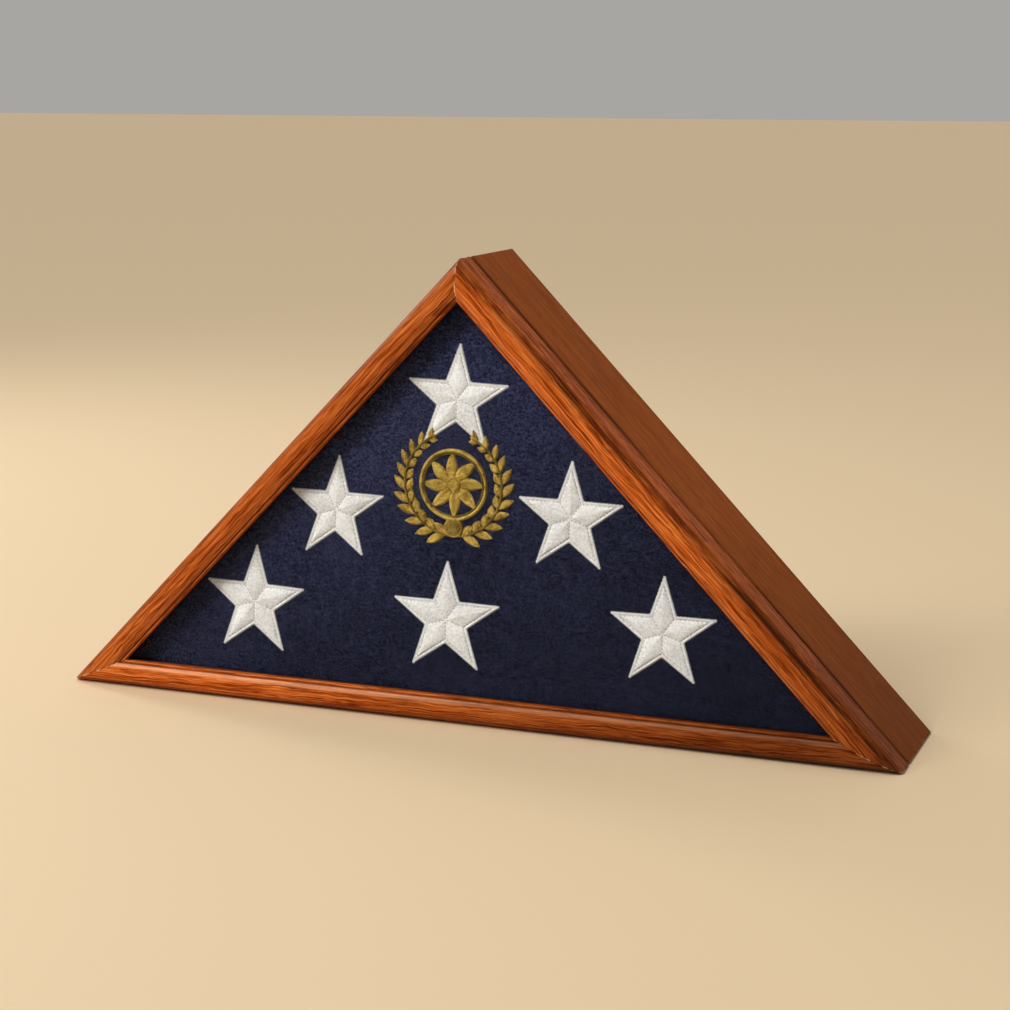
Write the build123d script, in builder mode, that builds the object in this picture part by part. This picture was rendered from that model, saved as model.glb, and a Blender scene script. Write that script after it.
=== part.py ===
from build123d import *

import os
from math import atan2, cos, degrees, hypot, pi, radians, sin

# Display case for one folded burial flag. Millimetres. X to the right as seen from the front,
# the glazed front faces -Y, Z is up. The origin is the centre of the footprint, on the table.

os.makedirs("parts", exist_ok=True)

# ---- case ----------------------------------------------------------------
BASE_W = 648.0  # long side, outside
CASE_H = 336.5  # height of the triangle, outside
DEPTH = 114.3
PAD_T = 1.0  # felt pads lift the case
PAD_R = 8.0
PAD_X = 272.0
PAD_Y = 32.0
BOARD_T = 12.7
JOINT_V = 1.6  # chamfer on both sides of the frame-to-case joint
REAR_EASE = 1.2
SPLINE_T = 3.0
SPLINE_W = 9.0
SPLINE_L = 46.0

# ---- front frame ---------------------------------------------------------
FRAME_D = 31.0  # front to back
FACE_W = 20.5  # outer edge to sight edge
RABBET_W = 10.0  # outer edge to rabbet wall
LIP_D = 9.5  # front to the back of the lip
ROUND_R = 11.5  # outer round-over
SHOULDER_U = 17.9  # where the convex face meets the bead at the sight edge
SHOULDER_V = 2.6
BEAD_R = 1.1
BEAD_V = 4.3
GLASS_T = 2.5
GLASS_GAP = 0.8
GLAZING_W = 6.5
GLAZING_D = 3.5
BRAD_R = 0.6
BRAD_L = 12.0
DOWEL_R = 2.5
DOWEL_L = 20.0
V_NAIL_H = 9.0
V_NAIL_T = 0.8

# ---- flag ----------------------------------------------------------------
FLAG_GAP = 13.5  # outer edge of the case to the slanted sides of the flag
FLAG_FRONT = 16.5  # behind the front of the case
FLAG_D = 74.8
FLAG_SHOULDER = 12.5
FLAG_EASE = 2.5
STAR_T = 1.0
STAR_WAIST = 0.39
EMBLEM_T = 1.2
EMBLEM_X = -7.2
EMBLEM_Z = 174.0

# ---- back door -----------------------------------------------------------
DOOR_T = 6.0
DOOR_REAR = 43.15  # y of its rear face
DOOR_GAP = 13.9  # outer edge of the case to the door's slanted edges
DOOR_FOOT = 13.6  # underside of the case to the door's lower edge
DOOR_CUT_X = 263.0  # the sharp lower corners end here
LINING_T = 1.5
LINING_GAP = 23.6
LINING_FOOT = 20.0
LINING_CUT_X = 250.0
STOP_W = 9.5
STOP_D = 6.0
STOP_FOOT = 47.0
MAGNET_R = 2.5
MAGNET_T = 3.0
MAGNET_Z = 240.0
MAGNET_GAP = 17.8
STRIKE_R = 2.6
STRIKE_T = 1.0
KNOB_Z = 232.0
KNOB_R = 8.5
KNOB_H = 11.5

# ---- hinges --------------------------------------------------------------
HINGE_X = 150.0
HINGE_L = 38.0
KNUCKLES = 5
KNUCKLE_GAP = 0.25
BARREL_R = 2.2
BARREL_CLEAR = 0.1
PIN_R = 0.9
PIN_BORE_R = 0.95
LEAF_T = 1.0
LEAF_W = 10.2
SCREW_R = 1.2
SCREW_HEAD_R = 2.3
SCREW_X = 11.5

# ---- derived -------------------------------------------------------------
HALF_W = BASE_W / 2
SLANT = hypot(HALF_W, CASE_H)
SIN_B = CASE_H / SLANT
COS_B = HALF_W / SLANT
INCENTRE_H = HALF_W * CASE_H / (HALF_W + SLANT)
FRONT = -DEPTH / 2
FRAME_REAR = FRONT + FRAME_D
GLASS_REAR = FRONT + LIP_D + GLASS_T
FLAG_FACE = FRONT + FLAG_FRONT
DOOR_FACE = DOOR_REAR - DOOR_T
LEDGE = PAD_T + BOARD_T
AXIS_Y = DOOR_REAR + BARREL_R + BARREL_CLEAR
AXIS_Z = LEDGE + BARREL_R + BARREL_CLEAR
KNUCKLE_L = (HINGE_L - (KNUCKLES - 1) * KNUCKLE_GAP) / KNUCKLES
BACKWARDS = (0, 1, 0)


def upright(y):
    """A drawing plane that looks at the object from the front, at this depth."""
    return Plane.XZ.offset(-y)


def half_width(gap, height):
    """Half the width of the triangle at a height, with its slanted sides moved in by gap."""
    return HALF_W * (1 - height / CASE_H) - gap / SIN_B


def side_height(gap, x):
    """Height of the slanted side, moved in by gap, above a point of the base."""
    return CASE_H * (1 - (x + gap / SIN_B) / HALF_W)


def triangle(side_gap, base_gap):
    """The case's outline, with its slanted sides and its base moved in."""
    half = half_width(side_gap, base_gap)
    foot = PAD_T + base_gap
    return [(-half, foot), (half, foot), (0, PAD_T + side_height(side_gap, 0))]


def slab(points, y_front, y_rear, mode=Mode.ADD):
    """An upright slab with this outline between two depths."""
    with BuildSketch(upright(y_front)) as outline:
        Polygon(*points, align=None)
    extrude(outline.sketch, amount=y_rear - y_front, dir=BACKWARDS, mode=mode)


def disc(x, z, radius, y_front, y_rear, mode=Mode.ADD):
    """A round peg along the depth."""
    with BuildSketch(upright(y_front)) as outline:
        with Locations((x, z)):
            Circle(radius)
    extrude(outline.sketch, amount=y_rear - y_front, dir=BACKWARDS, mode=mode)


def inward(side):
    """Unit vector from a side of the triangle towards its middle, as x and z."""
    return {"left": (SIN_B, -COS_B), "right": (-SIN_B, -COS_B), "bottom": (0.0, 1.0)}[side]


def along(side):
    """Unit vector along a side of the triangle, as x and z."""
    return {"left": (COS_B, SIN_B), "right": (-COS_B, SIN_B), "bottom": (1.0, 0.0)}[side]


def middle(side):
    """Middle of a side's outer edge, as x and z."""
    if side == "bottom":
        return (0.0, PAD_T)
    sign = -1 if side == "left" else 1
    return (sign * HALF_W / 2, PAD_T + CASE_H / 2)


def on_side(side, run, gap):
    """A point so far along a side from its middle, and so far in from its outer edge."""
    x, z = middle(side)
    a = along(side)
    n = inward(side)
    return (x + run * a[0] + gap * n[0], z + run * a[1] + gap * n[1])


def section_plane(side):
    """Plane across a side: local X runs inwards from the outer edge, local Y backwards."""
    x, z = middle(side)
    n = inward(side)
    inwards = Vector(n[0], 0, n[1])
    return Plane(origin=(x, FRONT, z), x_dir=inwards, z_dir=inwards.cross(Vector(0, 1, 0)))


def mitre(side):
    """Keep only the length of a side between its two mitres."""
    centre = (0.0, PAD_T + INCENTRE_H)
    low_left, low_right, top = triangle(0, 0)
    ends = {"left": (low_left, top), "right": (top, low_right), "bottom": (low_left, low_right)}
    outer = [tuple(c + 1.3 * (p - c) for p, c in zip(end, centre)) for end in ends[side]]
    with BuildSketch(upright(FRONT - 5)) as wedge:
        Polygon(centre, *outer, align=None)
    extrude(wedge.sketch, amount=DEPTH + 10, dir=BACKWARDS, mode=Mode.INTERSECT)


SIDES = ("left", "right", "bottom")
SIDE_L = {"left": SLANT, "right": SLANT, "bottom": BASE_W}
DOWEL_RUNS = {
    "left": (-150.0, 0.0, 150.0),
    "right": (-150.0, 0.0, 150.0),
    "bottom": (-210.0, -70.0, 70.0, 210.0),
}
BRAD_RUNS = {
    "left": (-110.0, 35.0, 125.0),
    "right": (-110.0, 35.0, 125.0),
    "bottom": (-160.0, 0.0, 160.0),
}


def corner_axis(corner):
    """A corner of the case and the unit vector from it towards the middle, as x and z."""
    point = triangle(0, 0)[corner]
    dx = -point[0]
    dz = PAD_T + INCENTRE_H - point[1]
    reach = hypot(dx, dz)
    return point, (dx / reach, dz / reach)


def v_nails(mode=Mode.ADD):
    """Bent steel nails pressed across the mitres, from the back of the frame."""
    for corner, run in ((0, 13.5), (1, 13.5), (2, 7.6)):
        point, axis = corner_axis(corner)
        turn = degrees(atan2(axis[1], axis[0]))
        x = point[0] + run * axis[0]
        z = point[1] + run * axis[1]
        tip = 2 * V_NAIL_T
        bend = [(tip, 0), (-V_NAIL_T, 2.6), (-tip, 2.6), (tip - 1, 0), (-tip, -2.6), (-V_NAIL_T, -2.6)]
        with BuildSketch(upright(FRAME_REAR - V_NAIL_H)) as nail:
            with Locations(Location((x, z, 0), (0, 0, turn))):
                Polygon(*bend, align=None)
        extrude(nail.sketch, amount=V_NAIL_H, dir=BACKWARDS, mode=mode)


def frame_dowels(side, mode=Mode.ADD):
    """Dowels through the joint between the front frame and the case box."""
    for run in DOWEL_RUNS[side]:
        x, z = on_side(side, run, 5.2)
        disc(x, z, DOWEL_R, FRAME_REAR - DOWEL_L / 2, FRAME_REAR + DOWEL_L / 2, mode)


def brads(side, mode=Mode.ADD):
    """Brads through a glazing stop into the rabbet wall."""
    plane = section_plane(side)
    depth = GLASS_REAR - FRONT + GLAZING_D / 2
    start = RABBET_W + GLAZING_W
    for run in BRAD_RUNS[side]:
        x, z = on_side(side, run, start)
        outward = -plane.x_dir
        with BuildSketch(Plane(origin=(x, FRONT + depth, z), z_dir=outward)) as brad:
            Circle(BRAD_R)
        extrude(brad.sketch, amount=BRAD_L, dir=outward, mode=mode)


def splines(mode=Mode.ADD):
    """Loose tongues in the mitres of the case boards."""
    for corner, run in ((0, 18.0), (1, 18.0), (2, 10.6)):
        point, axis = corner_axis(corner)
        turn = degrees(atan2(axis[1], axis[0]))
        x = point[0] + run * axis[0]
        z = point[1] + run * axis[1]
        with BuildSketch(upright(FRAME_REAR + 8)) as tongue:
            with Locations(Location((x, z, 0), (0, 0, turn))):
                Rectangle(SPLINE_T, SPLINE_W)
        extrude(tongue.sketch, amount=SPLINE_L, dir=BACKWARDS, mode=mode)


# ---- front frame ---------------------------------------------------------
for side in SIDES:
    with BuildPart() as front_rail:
        with BuildSketch(section_plane(side)):
            with BuildLine():
                Polyline(
                    (0, ROUND_R),
                    (0, FRAME_D - JOINT_V),
                    (JOINT_V, FRAME_D),
                    (RABBET_W, FRAME_D),
                    (RABBET_W, LIP_D),
                    (FACE_W, LIP_D),
                    (FACE_W, BEAD_V),
                )
                bead = FACE_W - 2 * BEAD_R
                ThreePointArc((FACE_W, BEAD_V), (bead + BEAD_R, BEAD_V - BEAD_R), (bead, BEAD_V))
                Line((bead, BEAD_V), (SHOULDER_U, SHOULDER_V))
                TangentArc((ROUND_R, 0), (SHOULDER_U, SHOULDER_V), tangent=(1, 0))
                turn = ROUND_R * (1 - cos(pi / 4))
                ThreePointArc((ROUND_R, 0), (turn, turn), (0, ROUND_R))
            make_face()
        extrude(amount=SIDE_L[side] * 0.6, both=True)
        mitre(side)
        v_nails(Mode.SUBTRACT)
        frame_dowels(side, Mode.SUBTRACT)
        brads(side, Mode.SUBTRACT)
    front_rail.part.label = f"front_rail_{side}"
    export_step(front_rail.part, f"parts/front_rail_{side}.step")

with BuildPart() as glass_pane:
    slab(triangle(RABBET_W + GLASS_GAP, RABBET_W + GLASS_GAP), FRONT + LIP_D, GLASS_REAR)
glass_pane.part.label = "glass_pane"
export_step(glass_pane.part, "parts/glass_pane.step")

for side in SIDES:
    with BuildPart() as glazing_stop:
        with BuildSketch(section_plane(side)):
            with Locations((RABBET_W, LIP_D + GLASS_T)):
                Rectangle(GLAZING_W, GLAZING_D, align=(Align.MIN, Align.MIN))
            inner = (RABBET_W + GLAZING_W, LIP_D + GLASS_T + GLAZING_D)
            with BuildLine():
                Polyline(inner, (inner[0] - 1.2, inner[1]), (inner[0], inner[1] - 1.2), close=True)
            make_face(mode=Mode.SUBTRACT)
        extrude(amount=SIDE_L[side] * 0.6, both=True)
        mitre(side)
        brads(side, Mode.SUBTRACT)
    glazing_stop.part.label = f"glazing_stop_{side}"
    export_step(glazing_stop.part, f"parts/glazing_stop_{side}.step")

with BuildPart() as glazing_brads:
    for side in SIDES:
        brads(side)
glazing_brads.part.label = "glazing_brads"
export_step(glazing_brads.part, "parts/glazing_brads.step")

with BuildPart() as mitre_v_nails:
    v_nails()
mitre_v_nails.part.label = "mitre_v_nails"
export_step(mitre_v_nails.part, "parts/mitre_v_nails.step")

with BuildPart() as joint_dowels:
    for side in SIDES:
        frame_dowels(side)
joint_dowels.part.label = "joint_dowels"
export_step(joint_dowels.part, "parts/joint_dowels.step")

# ---- countersunk hinge screw, drawn about its own axis, head on top ------
with BuildPart() as screw_blank:
    with BuildSketch(Plane.XZ):
        with BuildLine():
            Polyline((0, 0), (SCREW_HEAD_R, 0), (SCREW_HEAD_R, -0.2), (SCREW_R, -LEAF_T - 0.2))
            Polyline((SCREW_R, -LEAF_T - 0.2), (SCREW_R, -4.2), (0, -5.2), (0, 0))
        make_face()
    revolve(axis=Axis.Z)

with BuildPart() as screw:
    add(screw_blank.part)
    with BuildSketch(Plane.XY):
        Rectangle(2.6, 0.5)
        Rectangle(0.5, 2.6)
    extrude(amount=-0.5, mode=Mode.SUBTRACT)

SCREW_XS = [sign * HINGE_X + side * SCREW_X for sign in (-1, 1) for side in (-1, 1)]
CASE_SCREW_Y = AXIS_Y + 0.35 + LEAF_W / 2 + BARREL_R / 2
DOOR_SCREW_Z = AXIS_Z + 0.35 + LEAF_W / 2 + BARREL_R / 2
CASE_SCREWS = [Location((x, CASE_SCREW_Y, LEDGE + LEAF_T)) for x in SCREW_XS]
DOOR_SCREWS = [Location((x, DOOR_REAR + LEAF_T, DOOR_SCREW_Z), (-90, 0, 0)) for x in SCREW_XS]

# ---- case box ------------------------------------------------------------
for side in SIDES:
    with BuildPart() as board:
        with BuildSketch(section_plane(side)):
            with BuildLine():
                Polyline(
                    (0, FRAME_D + JOINT_V),
                    (JOINT_V, FRAME_D),
                    (BOARD_T, FRAME_D),
                    (BOARD_T, DEPTH - REAR_EASE),
                    (BOARD_T - REAR_EASE, DEPTH),
                    (REAR_EASE, DEPTH),
                    (0, DEPTH - REAR_EASE),
                    close=True,
                )
            make_face()
        extrude(amount=SIDE_L[side] * 0.6, both=True)
        mitre(side)
        frame_dowels(side, Mode.SUBTRACT)
        splines(Mode.SUBTRACT)
        if side == "bottom":
            with Locations(*CASE_SCREWS):
                add(screw_blank.part, mode=Mode.SUBTRACT)
    name = "case_bottom" if side == "bottom" else f"case_side_{side}"
    board.part.label = name
    export_step(board.part, f"parts/{name}.step")

with BuildPart() as mitre_splines:
    splines()
mitre_splines.part.label = "mitre_splines"
export_step(mitre_splines.part, "parts/mitre_splines.step")

BLOCK_X = DOOR_CUT_X + 0.8
for name, sign in (("left", -1), ("right", 1)):
    with BuildPart() as corner_block:
        corner = half_width(BOARD_T, BOARD_T)
        top = PAD_T + side_height(BOARD_T, BLOCK_X)
        points = [(sign * BLOCK_X, LEDGE), (sign * corner, LEDGE), (sign * BLOCK_X, top)]
        slab(points, DOOR_FACE - 1.6, DOOR_REAR)
    corner_block.part.label = f"corner_block_{name}"
    export_step(corner_block.part, f"parts/corner_block_{name}.step")

MAGNET_X = half_width(MAGNET_GAP, MAGNET_Z)
for name, sign in (("left", -1), ("right", 1)):
    with BuildPart() as door_stop:
        outer = BOARD_T
        inner = BOARD_T + STOP_W
        points = [
            (sign * half_width(outer, STOP_FOOT), PAD_T + STOP_FOOT),
            (0, PAD_T + side_height(outer, 0)),
            (0, PAD_T + side_height(inner, 0)),
            (sign * half_width(inner, STOP_FOOT), PAD_T + STOP_FOOT),
        ]
        slab(points, DOOR_FACE - STOP_D, DOOR_FACE)
        magnet = (sign * MAGNET_X, PAD_T + MAGNET_Z, MAGNET_R)
        disc(*magnet, DOOR_FACE - MAGNET_T, DOOR_FACE, Mode.SUBTRACT)
    door_stop.part.label = f"door_stop_{name}"
    export_step(door_stop.part, f"parts/door_stop_{name}.step")

with BuildPart() as catch_magnets:
    for sign in (-1, 1):
        disc(sign * MAGNET_X, PAD_T + MAGNET_Z, MAGNET_R, DOOR_FACE - MAGNET_T, DOOR_FACE)
catch_magnets.part.label = "catch_magnets"
export_step(catch_magnets.part, "parts/catch_magnets.step")

with BuildPart() as foot_pads:
    with BuildSketch(Plane.XY):
        with GridLocations(2 * PAD_X, 2 * PAD_Y, 2, 2):
            Circle(PAD_R)
    extrude(amount=PAD_T)
foot_pads.part.label = "foot_pads"
export_step(foot_pads.part, "parts/foot_pads.step")

# ---- folded flag ---------------------------------------------------------
with BuildPart() as folded_flag:
    shoulder = FLAG_FACE + FLAG_D - FLAG_SHOULDER
    ease = FLAG_EASE
    slab(triangle(FLAG_GAP, BOARD_T), FLAG_FACE + ease, shoulder)
    with BuildSketch(upright(FLAG_FACE)) as face:
        Polygon(*triangle(FLAG_GAP + ease, BOARD_T + ease), align=None)
    with BuildSketch(upright(FLAG_FACE + ease)) as face_rear:
        Polygon(*triangle(FLAG_GAP, BOARD_T), align=None)
    loft([face.sketch, face_rear.sketch], ruled=True)
    with BuildSketch(upright(shoulder)) as back_front:
        Polygon(*triangle(FLAG_GAP, BOARD_T), align=None)
    with BuildSketch(upright(FLAG_FACE + FLAG_D)) as back:
        Polygon(*triangle(FLAG_GAP + FLAG_SHOULDER, BOARD_T + FLAG_SHOULDER), align=None)
    loft([back_front.sketch, back.sketch], ruled=True)
folded_flag.part.label = "folded_flag"
export_step(folded_flag.part, "parts/folded_flag.step")

# Each star: middle x, height above the underside of the case, reach, turn, width factor, lean.
STARS = {
    "top": (-4.1, 236.0, 40.4, -1.4, 1.0, 0.037),
    "middle_left": (-100.3, 149.5, 40.8, -0.5, 0.96, 0.067),
    "middle_right": (81.5, 155.5, 41.8, -0.8, 0.98, 0.020),
    "lower_left": (-168.8, 73.7, 44.0, -1.2, 0.965, 0.039),
    "lower_middle": (-13.2, 74.1, 43.8, -0.6, 0.99, 0.022),
    "lower_right": (151.2, 78.8, 41.8, 0.5, 0.975, 0.021),
}


def star_outline(place):
    """The ten corners of a five-pointed star, first point up, as cut and sewn by hand."""
    x, z, size, turn, width, lean = place
    points = []
    for step in range(10):
        reach = size * (1 if step % 2 == 0 else STAR_WAIST)
        angle = radians(90 + turn + 36 * step)
        rise = reach * sin(angle)
        points.append((x + width * reach * cos(angle) + lean * rise, PAD_T + z + rise))
    return points


for name, place in STARS.items():
    with BuildPart() as star:
        slab(star_outline(place), FLAG_FACE - STAR_T, FLAG_FACE)
    star.part.label = f"star_{name}"
    export_step(star.part, f"parts/star_{name}.step")


# ---- embroidered emblem: a laurel wreath tied round a ring with a flower in it ----
WREATH_R = 37.5
WREATH_FOOT = -87.0  # degrees up from level, where the right-hand branch starts at the tie
WREATH_TIP = 66.0
LEAF_PAIRS = 11
OUTER_LEAF = 16.0
INNER_LEAF = 12.0
LEAF_W = 6.5
LEAF_OPENING = 34.0  # degrees between a leaf and its stem
LEAF_STEPS = 5
STEM_W = 2.4
RING_R = 25.0
RING_W = 3.0
PETALS = 8
PETAL_W = 9.0
EYE_R = 5.0
TIE_R = 7.5
TIE_Z = -(WREATH_R + RING_R) / 2


def on_flag(x, z):
    """A point of the emblem, measured from its middle, at its place on the flag."""
    return (EMBLEM_X + x, PAD_T + EMBLEM_Z + z)


def branch_point(share):
    """Point and course of the right-hand branch, from its foot to its tip."""
    turn = WREATH_FOOT + (WREATH_TIP - WREATH_FOOT) * share
    return WREATH_R * cos(radians(turn)), WREATH_R * sin(radians(turn)), turn + 90


def branch_leaves():
    """Leaves of the right-hand branch: foot, course, length and width."""
    rows = []
    for pair in range(LEAF_PAIRS):
        share = (pair + 0.5) / LEAF_PAIRS
        x, z, course = branch_point(share)
        size = 1 - 0.4 * share**2
        rows.append((x, z, course - LEAF_OPENING, OUTER_LEAF * size, LEAF_W * size))
        rows.append((x, z, course + LEAF_OPENING, INNER_LEAF * size, LEAF_W * size))
    rows.append((x, z, course, INNER_LEAF * size, LEAF_W * size))
    return rows


def leaf_outline(side, foot_x, foot_z, course, length, width):
    """A pointed leaf. Side is 1 on the right and -1 for its mirror image on the left."""
    ahead = radians(course)
    points = []
    for step in range(2 * LEAF_STEPS):
        share = 1 - abs(1 - step / LEAF_STEPS)
        off = width / 2 * sin(pi * share) * (1 if step < LEAF_STEPS else -1)
        run = length * share
        x = foot_x + run * cos(ahead) - off * sin(ahead)
        z = foot_z + run * sin(ahead) + off * cos(ahead)
        points.append(on_flag(side * x, z))
    return points


def stem_outline(side):
    """A branch's own stem, as a narrow curved band."""
    edges = ([], [])
    for pair in range(LEAF_PAIRS + 1):
        x, z = branch_point(pair / LEAF_PAIRS)[:2]
        for edge, radius in zip(edges, (WREATH_R - STEM_W / 2, WREATH_R + STEM_W / 2)):
            edge.append(on_flag(side * x * radius / WREATH_R, z * radius / WREATH_R))
    return edges[0] + edges[1][::-1]


with BuildPart() as emblem:
    front = FLAG_FACE - STAR_T - EMBLEM_T
    with BuildSketch(upright(front)) as needlework:
        with Locations(on_flag(0, 0)):
            Circle(RING_R + RING_W / 2)
            Circle(RING_R - RING_W / 2, mode=Mode.SUBTRACT)
            Circle(EYE_R)
        for petal in range(PETALS):
            Polygon(*leaf_outline(1, 0, 0, 90 + 360 / PETALS * petal, RING_R, PETAL_W), align=None)
        for side in (-1, 1):
            Polygon(*stem_outline(side), align=None)
            for row in branch_leaves():
                Polygon(*leaf_outline(side, *row), align=None)
        with Locations(on_flag(0, TIE_Z)):
            Circle(TIE_R)
    extrude(needlework.sketch, amount=STAR_T + EMBLEM_T, dir=BACKWARDS)
    slab(star_outline(STARS["top"]), FLAG_FACE - STAR_T, FLAG_FACE + 1, Mode.SUBTRACT)
emblem.part.label = "emblem"
export_step(emblem.part, "parts/emblem.step")

# ---- back door -----------------------------------------------------------
def door_outline(gap, foot, cut_x):
    """The door's outline: the triangle with its three corners cut off upright or level."""
    right = [(cut_x, foot), (cut_x, side_height(gap, cut_x)), (1.5, side_height(gap, 1.5))]
    left = [(-x, z) for x, z in reversed(right)]
    return [(x, PAD_T + z) for x, z in right + left]


KNOB_AXIS = Axis((0, DOOR_REAR, PAD_T + KNOB_Z), (0, 1, 0))
KNOB_PLANE = Plane(origin=(0, DOOR_REAR, PAD_T + KNOB_Z), x_dir=(1, 0, 0), z_dir=(0, 0, 1))

with BuildPart() as knob_screw_blank:
    with BuildSketch(KNOB_PLANE):
        with BuildLine():
            Polyline((0, -DOOR_T), (2.9, -DOOR_T), (1.5, 1.5 - DOOR_T), (1.5, 5), (0, 5), close=True)
        make_face()
    revolve(axis=KNOB_AXIS)

with BuildPart() as knob_screw:
    add(knob_screw_blank.part)
    with BuildSketch(upright(DOOR_FACE)):
        with Locations((0, PAD_T + KNOB_Z)):
            Rectangle(3.4, 0.6)
            Rectangle(0.6, 3.4)
    extrude(amount=0.7, dir=BACKWARDS, mode=Mode.SUBTRACT)
knob_screw.part.label = "knob_screw"
export_step(knob_screw.part, "parts/knob_screw.step")

with BuildPart() as door_knob:
    with BuildSketch(KNOB_PLANE):
        with BuildLine():
            Polyline((0, KNOB_H), (0, 0), (6.2, 0), (6.2, 1.0), (3.4, 2.0), (3.4, 4.6))
            Spline((3.4, 4.6), (KNOB_R, 8.2), (5.0, KNOB_H - 0.5), (0, KNOB_H))
        make_face()
    revolve(axis=KNOB_AXIS)
    add(knob_screw_blank.part, mode=Mode.SUBTRACT)
door_knob.part.label = "door_knob"
export_step(door_knob.part, "parts/door_knob.step")

with BuildPart() as back_door_panel:
    slab(door_outline(DOOR_GAP, DOOR_FOOT, DOOR_CUT_X), DOOR_FACE, DOOR_REAR)
    for sign in (-1, 1):
        strike = (sign * MAGNET_X, PAD_T + MAGNET_Z, STRIKE_R)
        disc(*strike, DOOR_FACE, DOOR_FACE + STRIKE_T, Mode.SUBTRACT)
    add(knob_screw_blank.part, mode=Mode.SUBTRACT)
    with Locations(*DOOR_SCREWS):
        add(screw_blank.part, mode=Mode.SUBTRACT)
back_door_panel.part.label = "back_door_panel"
export_step(back_door_panel.part, "parts/back_door_panel.step")

with BuildPart() as strike_discs:
    for sign in (-1, 1):
        disc(sign * MAGNET_X, PAD_T + MAGNET_Z, STRIKE_R, DOOR_FACE, DOOR_FACE + STRIKE_T)
strike_discs.part.label = "strike_discs"
export_step(strike_discs.part, "parts/strike_discs.step")

with BuildPart() as door_lining:
    slab(door_outline(LINING_GAP, LINING_FOOT, LINING_CUT_X), DOOR_FACE - LINING_T, DOOR_FACE)
door_lining.part.label = "door_lining"
export_step(door_lining.part, "parts/door_lining.step")

# ---- hinges --------------------------------------------------------------
LEAF_START = BARREL_R + 0.4


def knuckle(first_x, order):
    """One knuckle of a barrel, without its bore."""
    with BuildSketch(Plane.YZ.offset(first_x + order * (KNUCKLE_L + KNUCKLE_GAP))) as ring:
        with Locations((AXIS_Y, AXIS_Z)):
            Circle(BARREL_R)
    extrude(ring.sketch, amount=KNUCKLE_L, dir=(1, 0, 0))


def block(corner, size, mode=Mode.ADD):
    """A block from its lowest corner."""
    with Locations(corner):
        Box(*size, align=(Align.MIN, Align.MIN, Align.MIN), mode=mode)


def barrel_bore(first_x):
    """Bore every knuckle for the pin."""
    with BuildSketch(Plane.YZ.offset(first_x - 1)) as bore:
        with Locations((AXIS_Y, AXIS_Z)):
            Circle(PIN_BORE_R)
    extrude(bore.sketch, amount=HINGE_L + 2, dir=(1, 0, 0), mode=Mode.SUBTRACT)


for name, sign in (("left", -1), ("right", 1)):
    first_x = sign * HINGE_X - HINGE_L / 2
    step_x = KNUCKLE_L + KNUCKLE_GAP

    with BuildPart() as case_leaf:
        plate = (HINGE_L, LEAF_W - LEAF_START, LEAF_T)
        block((first_x, AXIS_Y + LEAF_START, LEDGE), plate)
        for order in range(0, KNUCKLES, 2):
            knuckle(first_x, order)
            block((first_x + order * step_x, AXIS_Y, LEDGE), (KNUCKLE_L, LEAF_START, LEAF_T))
        barrel_bore(first_x)
        with Locations(*CASE_SCREWS):
            add(screw_blank.part, mode=Mode.SUBTRACT)
    case_leaf.part.label = f"hinge_{name}_case_leaf"
    export_step(case_leaf.part, f"parts/hinge_{name}_case_leaf.step")

    with BuildPart() as door_leaf:
        plate = (HINGE_L, LEAF_T, LEAF_W - LEAF_START)
        block((first_x, DOOR_REAR, AXIS_Z + LEAF_START), plate)
        for order in range(1, KNUCKLES, 2):
            knuckle(first_x, order)
            block((first_x + order * step_x, DOOR_REAR, AXIS_Z), (KNUCKLE_L, LEAF_T, LEAF_START))
        barrel_bore(first_x)
        with Locations(*DOOR_SCREWS):
            add(screw_blank.part, mode=Mode.SUBTRACT)
    door_leaf.part.label = f"hinge_{name}_door_leaf"
    export_step(door_leaf.part, f"parts/hinge_{name}_door_leaf.step")

    with BuildPart() as pin:
        for x, length, radius in (
            (first_x - 0.8, 0.8, 1.7),
            (first_x, HINGE_L, PIN_R),
            (first_x + HINGE_L, 0.8, 1.7),
        ):
            with BuildSketch(Plane.YZ.offset(x)) as round_bar:
                with Locations((AXIS_Y, AXIS_Z)):
                    Circle(radius)
            extrude(round_bar.sketch, amount=length, dir=(1, 0, 0))
    pin.part.label = f"hinge_{name}_pin"
    export_step(pin.part, f"parts/hinge_{name}_pin.step")

for name, places in (("hinge_case_screws", CASE_SCREWS), ("hinge_door_screws", DOOR_SCREWS)):
    with BuildPart() as screws:
        with Locations(*places):
            add(screw.part)
    screws.part.label = name
    export_step(screws.part, f"parts/{name}.step")
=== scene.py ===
import math

import bpy
import numpy as np
from mathutils import Matrix, Vector
from mathutils.bvhtree import BVHTree


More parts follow.
